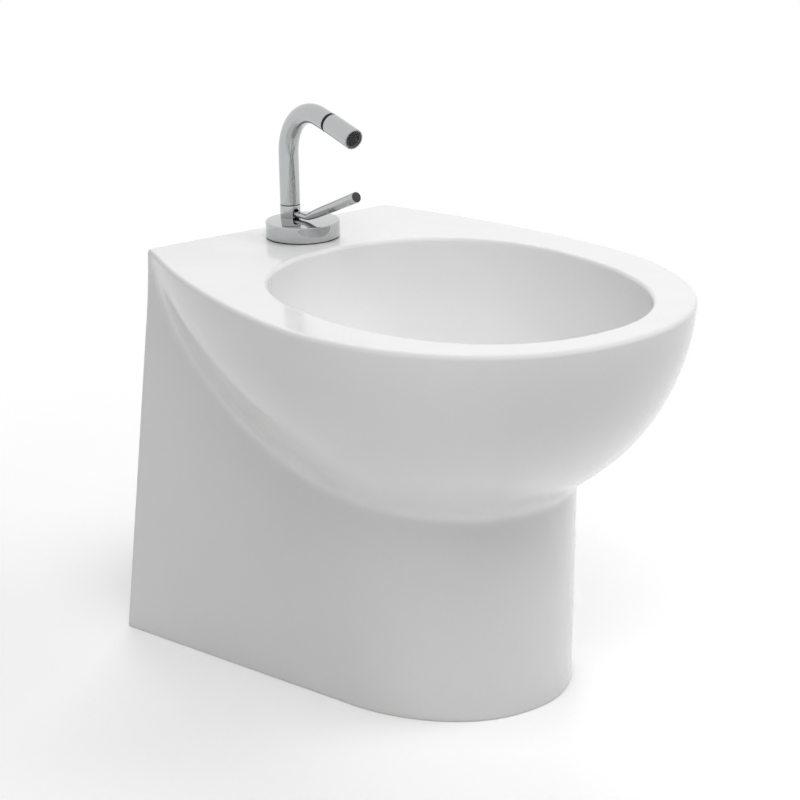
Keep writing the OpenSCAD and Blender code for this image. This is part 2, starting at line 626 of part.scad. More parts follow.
// plug: cap, seal and stem that slide in a three-armed guide
plug_seal_h = 2;
plug_seal_d = 38;
plug_hub_d = 20;
plug_hub_h = 3;
plug_stem_d = 8;
guide_z = seat_z - 26;
guide_h = 12;
guide_t = 2;
hub_d = 12;
arm_t = 2.4;
stem_below = 2;                      // how far the raised stem reaches below its guide
cap_z = recess_z + plug_seal_h + plug_stroke + run;
cap_d = 49;
cap_low_h = 1.6;
cap_mid_h = 1.6;
cap_top_h = 1.4;
cap_low_in = 1.5;
cap_top_in = 3;
module plug_guide() color([0.9, 0.9, 0.88]) at_drain(guide_z) difference() {
    union() {
        difference() {
            cylinder(d = waste_bore, h = guide_h);
            translate([0, 0, -cut]) cylinder(d = waste_bore - 2 * guide_t, h = guide_h + 2 * cut);
        }
        cylinder(d = hub_d, h = guide_h);
        for (a = [90, 210, 330]) rotate([0, 0, a])
            translate([0, -arm_t / 2, 0]) cube([waste_bore / 2 - guide_t / 2, arm_t, guide_h]);
    }
    translate([0, 0, -cut]) cylinder(d = plug_stem_d + 2 * run, h = guide_h + 2 * cut);
}
module plug_stem() color([0.75, 0.76, 0.77]) {
    at_drain(guide_z - stem_below) cylinder(d = plug_stem_d, h = cap_z - guide_z + stem_below);
    at_drain(cap_z - plug_hub_h) cylinder(d1 = plug_stem_d, d2 = plug_hub_d, h = plug_hub_h);
}
module plug_cap() color([0.78, 0.79, 0.8]) at_drain(cap_z) {
    cylinder(d1 = cap_d - 2 * cap_low_in, d2 = cap_d, h = cap_low_h);
    translate([0, 0, cap_low_h]) cylinder(d = cap_d, h = cap_mid_h);
    translate([0, 0, cap_low_h + cap_mid_h])
        cylinder(d1 = cap_d, d2 = cap_d - 2 * cap_top_in, h = cap_top_h);
}
module plug_seal() color([0.16, 0.16, 0.17]) at_drain(cap_z - plug_seal_h) difference() {
    cylinder(d = plug_seal_d, h = plug_seal_h);
    translate([0, 0, -cut]) cylinder(d = plug_hub_d, h = plug_seal_h + 2 * cut);
}

// ---- trap ----
pipe_t = 1.5;
pipe_bore = pipe_d - 2 * pipe_t;
pipe_room = 1;                       // how much wider a nut's hole is than its pipe
tail_flange_d = waste_thread_d - 1;
tail_flange_h = 2;
tail_seal_h = 2;
tail_top = waste_bottom - tail_seal_h;
water_seal = 50;
tail_bottom = outlet_h - pipe_d / 2 - water_seal;
tail_nut_d = waste_thread_d + 8;
tail_nut_h = 20;
tail_lip = 4;
trap_above = 26;                     // round body above the outlet's middle
trap_below = 34;                     // and below it, to the cup's joint
trap_top = outlet_h + trap_above;
trap_low = outlet_h - trap_below;
trap_t = 2.5;
cup_depth = 48;
cup_low = trap_low - cup_depth;
cup_floor = 3;
cup_edge = 4;
cup_t = 4;
cup_nut_d = trap_d + 6;
cup_nut_half = 10;
cup_seal_h = 2;
neck_out_d = 44;
neck_h = 12;
branch_in = 6;                       // how far the outlet branch reaches into the round body
branch_len = 24;
small_nut_h = 18;
small_nut_d = neck_out_d + 7;
small_nut_grip = 10;
cone_h = 4;                          // height of the conical pipe seals
cone_wide_d = neck_out_d - 2;
cone_tight_d = pipe_d + 4;
cone_room = 0.6;

module tail_pipe() color([0.78, 0.79, 0.8]) difference() {
    union() {
        at_drain(tail_bottom) cylinder(d = pipe_d, h = tail_top - tail_bottom);
        at_drain(tail_top - tail_flange_h) cylinder(d = tail_flange_d, h = tail_flange_h);
    }
    at_drain(tail_bottom - cut) cylinder(d = pipe_bore, h = tail_top - tail_bottom + 2 * cut);
}
module tail_seal() color([0.16, 0.16, 0.17]) at_drain(tail_top) difference() {
    cylinder(d = tail_flange_d, h = tail_seal_h);
    translate([0, 0, -cut]) cylinder(d = waste_bore, h = tail_seal_h + 2 * cut);
}
module tail_nut() color([0.78, 0.79, 0.8])
    at_drain(tail_top - tail_flange_h - tail_lip) difference() {
        cylinder(d = tail_nut_d, h = tail_nut_h);
        translate([0, 0, tail_lip]) cylinder(d = waste_thread_d, h = tail_nut_h);
        translate([0, 0, -cut]) cylinder(d = pipe_d + pipe_room, h = tail_nut_h);
    }
module trap_body() color([0.78, 0.79, 0.8]) difference() {
    union() {
        at_drain(trap_low) cylinder(d = trap_d, h = trap_top - trap_low);
        at_drain(trap_top - eps) cylinder(d = neck_out_d, h = neck_h);
        toward_wall(neck_end_y - branch_len) cylinder(d = neck_out_d, h = branch_len);
    }
    at_drain(trap_low - cut)
        cylinder(d = trap_d - 2 * trap_t, h = trap_top - trap_low - trap_t + cut);
    at_drain(trap_top - trap_t - cut) cylinder(d = pipe_d + pipe_room, h = neck_h + trap_t + 2 * cut);
    toward_wall(drain_y) cylinder(d = pipe_d, h = trap_d);
}
module cone_seal() difference() {
    cylinder(d1 = cone_wide_d, d2 = cone_tight_d, h = cone_h);
    translate([0, 0, -cut]) cylinder(d = pipe_d, h = cone_h + 2 * cut);
}
module cone_nut() difference() {
    cylinder(d = small_nut_d, h = small_nut_h);
    translate([0, 0, -cut]) cylinder(d = neck_out_d, h = small_nut_grip + cut);
    translate([0, 0, small_nut_grip - eps])
        cylinder(d1 = cone_wide_d + cone_room, d2 = cone_tight_d + cone_room, h = cone_h + eps);
    translate([0, 0, small_nut_grip]) cylinder(d = pipe_d + pipe_room, h = small_nut_h);
}
inlet_z = trap_top - eps + neck_h;
module inlet_seal() color([0.16, 0.16, 0.17]) at_drain(inlet_z) cone_seal();
module inlet_nut() color([0.78, 0.79, 0.8]) at_drain(inlet_z - small_nut_grip) cone_nut();
module cup_seal() color([0.16, 0.16, 0.17]) at_drain(trap_low - cup_seal_h) difference() {
    cylinder(d = trap_d, h = cup_seal_h);
    translate([0, 0, -cut]) cylinder(d = trap_d - 2 * trap_t, h = cup_seal_h + 2 * cut);
}
module trap_cup() color([0.78, 0.79, 0.8]) difference() {
    union() {
        at_drain(trap_low - cup_nut_half) cylinder(d = cup_nut_d, h = 2 * cup_nut_half);
        at_drain(cup_low + cup_edge)
            cylinder(d = trap_d, h = trap_low - cup_nut_half - cup_low - cup_edge + eps);
        at_drain(cup_low) cylinder(d1 = trap_d - 2 * cup_edge, d2 = trap_d, h = cup_edge + eps);
    }
    at_drain(trap_low - cup_seal_h) cylinder(d = trap_d, h = 2 * cup_nut_half);
    at_drain(cup_low + cup_floor)
        cylinder(d = trap_d - 2 * cup_t, h = trap_low - cup_low - cup_floor);
}

// ---- outlet ----
neck_end_y = drain_y + trap_d / 2 - branch_in + branch_len;
pipe_in = 14;                        // how far the outlet pipe reaches into the branch
pipe_from = neck_end_y - pipe_in;
pipe_slip = 0.6;                     // how much thinner the pipe is where it slides into the branch
pipe_out = 1;                        // full width begins this far outside the nut
pipe_free = pipe_in - small_nut_grip + small_nut_h + pipe_out;
module toward_wall(y) translate([0, y, outlet_h]) rotate([-90, 0, 0]) children();
module outlet_seal() color([0.16, 0.16, 0.17]) toward_wall(neck_end_y) cone_seal();
module outlet_nut() color([0.78, 0.79, 0.8]) toward_wall(neck_end_y - small_nut_grip) cone_nut();
module outlet_pipe() color([0.78, 0.79, 0.8]) toward_wall(pipe_from) difference() {
    union() {
        cylinder(d = pipe_d - pipe_slip, h = wall_y - pipe_from);
        translate([0, 0, pipe_free]) cylinder(d = pipe_d, h = wall_y - pipe_from - pipe_free);
    }
    translate([0, 0, -cut]) cylinder(d = pipe_bore, h = wall_y - pipe_from + 2 * cut);
}

ceramic_body();
tap_gasket();
tap_base();
cartridge();
spout();
glide_ring();
tap_stud();
stud_pad();
stud_plate();
stud_nut();
lever_collar();
lever_pin();
lever_neck();
lever_stick();
lever_plug();
nozzle_ring();
swivel_ball();
nozzle_sleeve();
ball_retainer();
aerator_body();
aerator_screen();
waste_body();
waste_gasket();
waste_seal();
waste_nut();
plug_guide();
plug_stem();
plug_cap();
plug_seal();
tail_pipe();
tail_seal();
tail_nut();
inlet_seal();
inlet_nut();
trap_body();
cup_seal();
trap_cup();
outlet_seal();
outlet_nut();
outlet_pipe();
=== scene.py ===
# Floor standing bidet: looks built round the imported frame. Metres, +Z up, +Y the wall side.
# The sizes of the china, the tap and the waste are millimetres, as in the solids.
import json
import math
import bpy
import bmesh
import numpy as np
from mathutils import Matrix, Vector


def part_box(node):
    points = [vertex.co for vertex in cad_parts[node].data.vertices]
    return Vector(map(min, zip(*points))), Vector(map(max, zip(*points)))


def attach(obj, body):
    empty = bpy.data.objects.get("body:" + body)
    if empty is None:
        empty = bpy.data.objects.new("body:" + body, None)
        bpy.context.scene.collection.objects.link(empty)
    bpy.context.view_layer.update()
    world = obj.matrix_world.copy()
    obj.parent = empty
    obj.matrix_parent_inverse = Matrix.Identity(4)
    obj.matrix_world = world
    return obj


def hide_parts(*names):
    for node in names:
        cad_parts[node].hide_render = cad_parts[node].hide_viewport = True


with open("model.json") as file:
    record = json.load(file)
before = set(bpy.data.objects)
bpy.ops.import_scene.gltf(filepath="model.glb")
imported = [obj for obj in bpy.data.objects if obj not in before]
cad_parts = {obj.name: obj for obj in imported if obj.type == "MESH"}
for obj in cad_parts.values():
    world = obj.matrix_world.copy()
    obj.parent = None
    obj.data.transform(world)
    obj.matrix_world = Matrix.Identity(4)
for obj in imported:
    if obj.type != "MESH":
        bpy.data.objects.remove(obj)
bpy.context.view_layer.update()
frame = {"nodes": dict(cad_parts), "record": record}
scene = bpy.context.scene
MM = 0.001


def toward(turn, rise):
    """The direction at a compass angle and a rise in degrees: turn 0 is the front, 90 the right."""
    a, e = math.radians(turn), math.radians(rise)
    return Vector((math.sin(a) * math.cos(e), -math.cos(a) * math.cos(e), math.sin(e)))


# ---- camera, at the photograph's viewing angle ----
VIEW_TURN, VIEW_RISE, VIEW_ROLL = -35.964, 19.116, -1.079
LOOK_AT = Vector((0, 0.070, 0.195))
CAMERA_REACH = 2.36814
PHOTO_PX = 800
FOCAL_PX, SHIFT_X_PX, SHIFT_Y_PX = 2418.2, 10.21, 56.52
SENSOR_MM = 36


def set_camera():
    roll = math.radians(VIEW_ROLL)
    back = toward(VIEW_TURN, VIEW_RISE)
    right = Vector((math.cos(math.radians(VIEW_TURN)), math.sin(math.radians(VIEW_TURN)), 0))
    up = back.cross(right)
    x = math.cos(roll) * right + math.sin(roll) * up
    y = -math.sin(roll) * right + math.cos(roll) * up
    cam = bpy.data.cameras.new("camera")
    cam.sensor_width = SENSOR_MM
    cam.lens = FOCAL_PX / PHOTO_PX * SENSOR_MM
    cam.shift_x = SHIFT_X_PX / PHOTO_PX
    cam.shift_y = SHIFT_Y_PX / PHOTO_PX
    cam.clip_end = 100
    ob = bpy.data.objects.new("camera", cam)
    scene.collection.objects.link(ob)
    m = Matrix((x, y, back)).transposed().to_4x4()
    m.translation = LOOK_AT + back * CAMERA_REACH
    ob.matrix_world = m
    scene.camera = ob


set_camera()


# ---- materials ----
NOISE_LOW, NOISE_HIGH = 0.3, 0.7    # the range that most of a noise lies in


class Nodes:
    """A material's node tree, with short calls for the few nodes used here."""

    def __init__(self, name):
        self.mat = bpy.data.materials.new(name)
        self.mat.use_nodes = True
        self.tree = self.mat.node_tree
        self.tree.nodes.clear()
        out = self.add("ShaderNodeOutputMaterial")
        self.bsdf = self.add("ShaderNodeBsdfPrincipled")
        self.link(self.bsdf.outputs[0], out.inputs["Surface"])
        self.coord = self.add("ShaderNodeTexCoord").outputs["Object"]

    def add(self, kind):
        return self.tree.nodes.new(kind)

    def link(self, a, b):
        self.tree.links.new(a, b)

    def set(self, **sockets):
        for k, v in sockets.items():
            self.bsdf.inputs[k.replace("_", " ")].default_value = v
        return self

    def to(self, socket, value):
        self.link(value, self.bsdf.inputs[socket])

    def noise(self, scale, detail, rough=0.5):
        n = self.add("ShaderNodeTexNoise")
        n.inputs["Scale"].default_value = scale
        n.inputs["Detail"].default_value = detail
        n.inputs["Roughness"].default_value = rough
        self.link(self.coord, n.inputs["Vector"])
        return n.outputs["Fac"]

    def ramp(self, fac, low, high):
        """A noise mapped to low..high, where these are numbers or colours."""
        r = self.add("ShaderNodeValToRGB")
        for stop, place, v in zip(r.color_ramp.elements, (NOISE_LOW, NOISE_HIGH), (low, high)):
            stop.position = place
            stop.color = (*v, 1) if hasattr(v, "__len__") else (v, v, v, 1)
        self.link(fac, r.inputs["Fac"])
        return r.outputs["Color"]

    def bump(self, *layers):
        """Layers of (height, distance in metres), stacked."""
        last = None
        for height, distance in layers:
            b = self.add("ShaderNodeBump")
            b.inputs["Strength"].default_value = 1
            b.inputs["Distance"].default_value = distance
            self.link(height, b.inputs["Height"])
            if last:
                self.link(last, b.inputs["Normal"])
            last = b.outputs[0]
        self.to("Normal", last)


def glaze():
    """White gloss glaze: a slow ripple and a very fine grain."""
    n = Nodes("china_glaze").set(Metallic=0, IOR=1.52, Coat_Weight=0.2, Coat_Roughness=0.03)
    n.to("Base Color", n.ramp(n.noise(9, 3), (0.872, 0.874, 0.871), (0.890, 0.892, 0.889)))
    n.to("Roughness", n.ramp(n.noise(35, 4), 0.10, 0.19))
    ripple, grain = (n.noise(14, 1.5), 0.00012), (n.noise(420, 1), 0.000004)
    n.bump(ripple, grain)
    return n.mat


def biscuit():
    """The raw china inside: a rough grain over slow waves."""
    n = Nodes("china_raw").set(Metallic=0, IOR=1.45)
    n.to("Base Color", n.ramp(n.noise(28, 4), (0.80, 0.785, 0.75), (0.88, 0.87, 0.845)))
    n.to("Roughness", n.ramp(n.noise(90, 3), 0.55, 0.8))
    grain, waves = (n.noise(260, 4, 0.65), 0.00018), (n.noise(30, 2), 0.0006)
    n.bump(grain, waves)
    return n.mat


def plated(name, color, smooth, rough, waves=0.00002):
    """Metal whose roughness wanders from smooth to rough."""
    n = Nodes(name).set(Metallic=1)
    n.to("Base Color", n.ramp(n.noise(60, 3), [c * 0.97 for c in color], color))
    n.to("Roughness", n.ramp(n.noise(140, 4, 0.6), smooth, rough))
    n.bump((n.noise(90, 1), waves))
    return n.mat


def moulded(name, low, high, rough):
    """Rubber or plastic with a fine moulded grain."""
    n = Nodes(name).set(Metallic=0, IOR=1.46)
    n.to("Base Color", n.ramp(n.noise(120, 3), low, high))
    n.to("Roughness", n.ramp(n.noise(300, 3), rough * 0.85, rough * 1.15))
    n.bump((n.noise(900, 2), 0.00004))
    return n.mat


MATS = {
    "china": glaze(),
    "chrome": plated("chrome_plate", (0.49, 0.495, 0.50), 0.03, 0.075),
    "rubber": moulded("rubber_black", (0.02, 0.02, 0.02), (0.035, 0.035, 0.035), 0.65),
    "black_plastic": moulded("plastic_black", (0.03, 0.03, 0.032), (0.045, 0.045, 0.047), 0.4),
    "grey_plastic": moulded("plastic_grey", (0.10, 0.10, 0.105), (0.13, 0.13, 0.135), 0.45),
    "white_plastic": moulded("plastic_white", (0.82, 0.82, 0.80), (0.86, 0.86, 0.84), 0.35),
    "screen": plated("screen_wire", (0.16, 0.16, 0.17), 0.3, 0.45),
    "steel": plated("steel_plain", (0.56, 0.57, 0.58), 0.22, 0.34, 0.00003),
    "brass": plated("brass_machined", (0.72, 0.58, 0.33), 0.2, 0.32, 0.00003),
}


# ---- the frame's own nodes: material, smooth faces and a soft edge ----
SOFT_EDGE, SOFT_FROM, SHARP_FROM = 0.0003, math.radians(40), math.radians(28)
WELD_GAP = 1e-6

slot_of = {s["node"]: s["material_slot"] for s in frame["record"]["subparts"]}
for name, ob in frame["nodes"].items():
    ob.data.materials.clear()
    ob.data.materials.append(MATS[slot_of[name]])
    ob.data.shade_smooth()
    ob.data.set_sharp_from_angle(angle=SHARP_FROM)
    weld = ob.modifiers.new("weld", "WELD")
    weld.merge_threshold = WELD_GAP
    edge = ob.modifiers.new("soft_edge", "BEVEL")
    edge.width = SOFT_EDGE
    edge.segments = 2
    edge.limit_method = "ANGLE"
    edge.angle_limit = SOFT_FROM


# ---- meshes: skins over rings of points, and tools that cut them ----
TUBE_STEPS = 96
SAME_POINT = 1e-7


def mesh_object(name, verts, faces, mats, index=None):
    me = bpy.data.meshes.new(name)
    me.from_pydata([tuple(v) for v in verts], [], faces)
    for m in mats:
        me.materials.append(m)
    if index is not None:
        me.polygons.foreach_set("material_index", index)
    me.update()
    ob = bpy.data.objects.new(name, me)
    scene.collection.objects.link(ob)
    return ob


def ring_faces(rings, sides, closed, first=0):
    """Faces over rings of points in a row: a closed loop of rings, or a bar with two ends."""
    faces = []
    for i in range(rings if closed else rings - 1):
        a, b = first + i * sides, first + (i + 1) % rings * sides
        faces += [[a + j, a + (j + 1) % sides, b + (j + 1) % sides, b + j] for j in range(sides)]
    if not closed:
        last = first + (rings - 1) * sides
        faces += [list(range(first, first + sides))[::-1], list(range(last, last + sides))]
    return faces


def round_angles(steps):
    return np.linspace(0, 2 * math.pi, steps, endpoint=False)


def smooth_over(ob, degrees):
    """Smooth shading, with edges above so many degrees kept sharp."""
    ob.data.shade_smooth()
    ob.data.set_sharp_from_angle(angle=math.radians(degrees))


def clean(ob, sharp=30):
    """Joins double points, drops flat faces, turns every face outward and shades it smooth."""
    bm = bmesh.new()
    bm.from_mesh(ob.data)
    bmesh.ops.remove_doubles(bm, verts=bm.verts, dist=SAME_POINT)
    bmesh.ops.dissolve_degenerate(bm, edges=bm.edges, dist=SAME_POINT)
    bmesh.ops.recalc_face_normals(bm, faces=bm.faces)
    bm.to_mesh(ob.data)
    bm.free()
    smooth_over(ob, sharp)


def turned(name, profile, mat, steps):
    """A mesh turned about Z from a closed (radius, height) profile."""
    verts = [(r * math.cos(t) * MM, r * math.sin(t) * MM, z * MM)
             for r, z in profile for t in round_angles(steps)]
    on_axis = [r == 0 for r, z in profile]
    faces = [f for f in ring_faces(len(profile), steps, True)
             if not (on_axis[f[0] // steps] and on_axis[f[2] // steps])]
    ob = mesh_object(name, verts, faces, [mat])
    clean(ob)
    return ob


def tube(name, path, radii, mat):
    """A round bar along a (y, z) path, of one radius or one for each point."""
    path = np.array(path)
    t = np.gradient(path, axis=0)
    t /= np.linalg.norm(t, axis=1)[:, None]
    verts = [(r * math.cos(v) * MM, (y - tz * r * math.sin(v)) * MM, (z + ty * r * math.sin(v)) * MM)
             for (y, z), (ty, tz), r in zip(path, t, np.broadcast_to(radii, len(path)))
             for v in round_angles(TUBE_STEPS)]
    ob = mesh_object(name, verts, ring_faces(len(path), TUBE_STEPS, False), [mat])
    clean(ob)
    return ob


def rod(name, r, low, high, steps):
    """A plain rod along Z, for cutting."""
    verts = [(r * math.cos(t) * MM, r * math.sin(t) * MM, z * MM)
             for z in (low, high) for t in round_angles(steps)]
    return mesh_object(name, verts, ring_faces(2, steps, False), [])


def prism(name, outline, y0, y1):
    """A prism from y0 to y1, for cutting. Its (x, z) outline runs anticlockwise, seen from the front."""
    verts = [(x * MM, y * MM, z * MM) for y in (y0, y1) for x, z in outline[::-1]]
    return mesh_object(name, verts, ring_faces(2, len(outline), False), [])


def take_away(ob, tool):
    m = ob.modifiers.new("cut", "BOOLEAN")
    m.operation = "DIFFERENCE"
    m.solver = "EXACT"
    m.object = tool
    dg = bpy.context.evaluated_depsgraph_get()
    new = bpy.data.meshes.new_from_object(ob.evaluated_get(dg), depsgraph=dg)
    ob.modifiers.clear()
    old, ob.data = ob.data, new
    bpy.data.meshes.remove(old)
    bpy.data.objects.remove(tool)


def round_corner(p, a, b, r, steps):
    """Points that round the corner at p between its neighbours a and b."""
    p, a, b = (np.array(v, float) for v in (p, a, b))
    u, v = (a - p) / np.linalg.norm(a - p), (b - p) / np.linalg.norm(b - p)
    half = math.acos(max(min(float(u @ v), 1), -1)) / 2
    back = r / math.tan(half)
    mid = p + (u + v) / np.linalg.norm(u + v) * r / math.sin(half)
    s, e = p + u * back - mid, p + v * back - mid
    w = math.acos(max(min(float(s @ e) / r ** 2, 1), -1))
    return [tuple(mid + (math.sin((1 - t) * w) * s + math.sin(t * w) * e) / math.sin(w))
            for t in np.linspace(0, 1, steps)]


def rounded(profile, radii, steps):
    """The profile with the corners in radii (index: radius) rounded."""
    out = []
    for i, p in enumerate(profile):
        if i in radii:
            out += round_corner(p, profile[i - 1], profile[(i + 1) % len(profile)], radii[i], steps)
        else:
            out.append(p)
    return out


def moved(ob, matrix):
    ob.data.transform(matrix)
    return ob


def offset(x, y, z):
    return Matrix.Translation(Vector((x, y, z)) * MM)


def along(origin, down):
    """Puts +Z towards the front from a (y, z) point, falling by so many degrees."""
    a = math.radians(down)
    z = Vector((0, -math.cos(a), -math.sin(a)))
    x = Vector((1, 0, 0))
    m = Matrix((x, z.cross(x), z)).transposed().to_4x4()
    m.translation = Vector((0, *origin)) * MM
    return m


def placed(ob, body, slot, *nodes_replaced):
    """Says which body a piece rides and which nodes it is drawn for. The slot argument is not used."""
    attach(ob, body)
    if nodes_replaced:
        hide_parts(*nodes_replaced)


# ---- china body: the solid's outlines, drawn finely ----
# They are polar, about the widest point of the rim, with angle 0 the front.
RIM_H, WALL_Y, WIDE_D = 390.0, 270.0, 300.0     # the widest point lies WIDE_D from the wall
MID_Y = WALL_Y - WIDE_D
RIM_HALF, RIM_FRONT, RIM_FRONT_N, RIM_BACK_N = 205.0, 240.0, 2.12, 1.71
DECK_HALF, FOOT_HALF = 143.0, 192.0             # half widths at the wall
NOSE_HALF, NOSE, NOSE_N = 123.5, 116.0, 2.25    # the round front of the pedestal
RIM_BACK = WIDE_D / (1 - (DECK_HALF / RIM_HALF) ** RIM_BACK_N) ** (1 / RIM_BACK_N)
SIDE_CLOSING = (196, 1.56, 3.38)                # depth where the bowl's side would close, and its powers
FRONT_CLOSING = (210, 1.83, 2.08)
CHINA_T, RIM_R, FOOT_R = 12.0, 5.0, 2.0
CORNER_SOFT, CREASE_SOFT = 9.0, 26.0            # at the back corners, and between bowl and pedestal
CEILING = RIM_H - CHINA_T
FAR = 9999.0                                    # stands for no wall at all
# least values that keep a quotient or a power finite
LEAST_SIZE, LEAST_FALL, LEAST_SPREAD, LEAST_SLANT = 1e-5, 0.05, 0.02, 0.45


def super_r(half, length, n, s, c):
    return ((np.abs(s) / half) ** n + (np.abs(c) / length) ** n) ** (-1 / n)


def oval_r(f, half, front, back, front_n, back_n):
    """An egg shape: one superellipse in front of the widest point and one behind."""
    s, c = np.sin(f), np.cos(f)
    return np.where(c >= 0, super_r(half, front, front_n, s, c), super_r(half, back, back_n, s, c))


def blend(d, k):
    """What a soft choice between two values adds where they lie d apart, with k for its width."""
    reach = 1.5 * k
    return np.maximum(reach - np.abs(d), 0) ** 3 / (6 * reach * reach)


def soft_max(a, b, k):
    return np.maximum(a, b) + blend(a - b, k)


def soft_min(a, b, k):
    return np.minimum(a, b) - blend(a - b, k)


def closing(t, depth, m, n):
    """What is left of the bowl's size t below the rim, when it would close at depth."""
    return max(1 - (max(t, 0) / depth) ** m, LEAST_SIZE) ** (1 / n)


def bowl_r(f, t):
    side, front = closing(t, *SIDE_CLOSING), closing(t, *FRONT_CLOSING)
    return oval_r(f, RIM_HALF * side, RIM_FRONT * front, RIM_BACK * side, RIM_FRONT_N, RIM_BACK_N)


def taper(z):
    """How much each side of the pedestal widens towards the wall, for each millimetre."""
    foot, deck = (FOOT_HALF - NOSE_HALF) / WIDE_D, (DECK_HALF - NOSE_HALF) / WIDE_D
    return foot + (deck - foot) * z / RIM_H


def pedestal_r(f, z):
    """A round nose in front of flat, tapering sides; its half width depends on how far back it is."""
    m, s, c = taper(z), np.abs(np.sin(f)), np.cos(f)
    r = super_r(NOSE_HALF, NOSE, NOSE_N, s, c)
    for _ in range(8):
        r = super_r(NOSE_HALF - m * r * c, NOSE, NOSE_N, s, c)
    return np.where(c >= 0, r, NOSE_HALF / np.maximum(s + m * c, LEAST_SPREAD))


def skin_r(f, z):
    """The crease keeps its width up to the rim, as photographed; the solid's narrows to nothing there."""
    return soft_max(bowl_r(f, RIM_H - z), pedestal_r(f, z), CREASE_SOFT)


def wall_r(f, d):
    """The plane d behind the widest point."""
    c = np.cos(f)
    return np.where(c < -LEAST_FALL, d / np.maximum(-c, LEAST_FALL), FAR)


def outer_r(f, z):
    return soft_min(skin_r(f, z), wall_r(f, WIDE_D), CORNER_SOFT)


def inner_r(f, z):
    slant = np.where(np.cos(f) >= 0, 1, 1 / np.maximum(np.abs(np.sin(f)), LEAST_SLANT))
    return soft_min(skin_r(f, z) - CHINA_T * slant, wall_r(f, WIDE_D - CHINA_T), CORNER_SOFT)


def corner_angle(z, d, off):
    """The angle of the back corner, where a side that lies off further in meets the plane at d."""
    side = closing(RIM_H - z, *SIDE_CLOSING)
    back = RIM_BACK * side
    half = NOSE_HALF + taper(z) * WIDE_D
    if back > WIDE_D:
        bowl_half = RIM_HALF * side * (1 - (WIDE_D / back) ** RIM_BACK_N) ** (1 / RIM_BACK_N)
        half = max(half, bowl_half)
    return math.pi - math.atan2(half - off, d)


RING_N, SIDE_N, CORNER_N = 360, 132, 24     # points in a ring, along a side and round a back corner
CORNER_SPAN = math.radians(2.2)


def ring_angles(corner):
    """Angles round the body from the front, closer together at the two back corners."""
    low, high = corner - CORNER_SPAN, corner + CORNER_SPAN
    a = np.concatenate([np.linspace(0, low, SIDE_N, endpoint=False),
                        np.linspace(low, high, CORNER_N, endpoint=False),
                        np.linspace(high, math.pi, RING_N // 2 - SIDE_N - CORNER_N + 1)])
    return np.concatenate([a, 2 * math.pi - a[1:-1][::-1]])


def ring(f, r, z, mid_y=MID_Y):
    return np.stack([r * np.sin(f), mid_y - r * np.cos(f), np.full_like(f, z)], -1)


def outer_ring(z, inset=0.0, level=None):
    """The outline at z, so much further in, drawn at z or at another level."""
    f = ring_angles(corner_angle(z, WIDE_D, 0))
    return ring(f, outer_r(f, z) - inset, z if level is None else level)


def inner_ring(z, outset=0.0, level=None):
    f = ring_angles(corner_angle(z, WIDE_D - CHINA_T, CHINA_T))
    return ring(f, inner_r(f, z) + outset, z if level is None else level)


BASIN_HALF, BASIN_FRONT, BASIN_BACK, BASIN_N = 155.5, 206.0, 179.0, 2.2
BASIN_DEPTH, BASIN_EDGE = 150.0, 4.0
BASIN_SWELL, BASIN_FALL, BASIN_DRIFT = 0.82, 0.9, 1.2   # powers of the way from rim to drain
SEAT_R, DRAIN_Y, DRAIN_R = 36.0, 8.0, 23.0
SEAT_Z = RIM_H - BASIN_DEPTH
FLAT = round_angles(RING_N)


def basin_rim():
    return oval_r(FLAT, BASIN_HALF, BASIN_FRONT, BASIN_BACK, BASIN_N, BASIN_N)


def basin_ring(q, off=0.0):
    """The basin's wall at q degrees of the way from its rim (0) to the drain (90), or off outside it."""
    q = math.radians(q)
    share = max(math.cos(q), 0) ** BASIN_SWELL
    drop = math.sin(q) ** BASIN_FALL * (BASIN_DEPTH - BASIN_EDGE)
    mid_y = MID_Y + (DRAIN_Y - MID_Y) * (1 - share) ** BASIN_DRIFT
    r = SEAT_R + (basin_rim() - SEAT_R) * share + off * math.cos(q)
    return ring(FLAT, r, RIM_H - BASIN_EDGE - drop - off * math.sin(q), mid_y)


def basin_edge_ring(a):
    """The rounded edge from the deck (90 degrees) to the basin's wall (0)."""
    a = math.radians(a)
    r = basin_rim() + BASIN_EDGE * (1 - math.cos(a))
    return ring(FLAT, r, RIM_H - BASIN_EDGE * (1 - math.sin(a)))


def drain_ring(z, r):
    return ring(FLAT, r, z, DRAIN_Y)


def between(a, b, shares):
    return [a + (b - a) * k for k in shares]


def raw_rings():
    """From the drain hole's lower edge, under the basin, down inside the pedestal and round the foot."""
    drain = [drain_ring(SEAT_Z - CHINA_T, r) for r in (DRAIN_R, 28, 33)]
    under_basin = [basin_ring(q, CHINA_T) for q in np.linspace(90, 3, 30)]
    low, top = basin_ring(0, CHINA_T), basin_ring(0, CHINA_T)
    low[:, 2] = CEILING - BASIN_EDGE
    top[:, 2] = CEILING
    ceiling = [low, top] + between(top, inner_ring(CEILING), (0.1, 0.3, 0.6, 0.9))
    inside = [inner_ring(z) for z in np.linspace(CEILING, FOOT_R, 60)]
    foot = [inner_ring(0, FOOT_R * (1 - math.cos(a)), FOOT_R * (1 - math.sin(a)))
            for a in np.radians([30, 60, 90])]
    foot += [outer_ring(0, FOOT_R * (1 - math.sin(a)), FOOT_R * (1 - math.cos(a)))
             for a in np.radians([0, 30, 60])]
    return drain + under_basin + ceiling + inside + foot


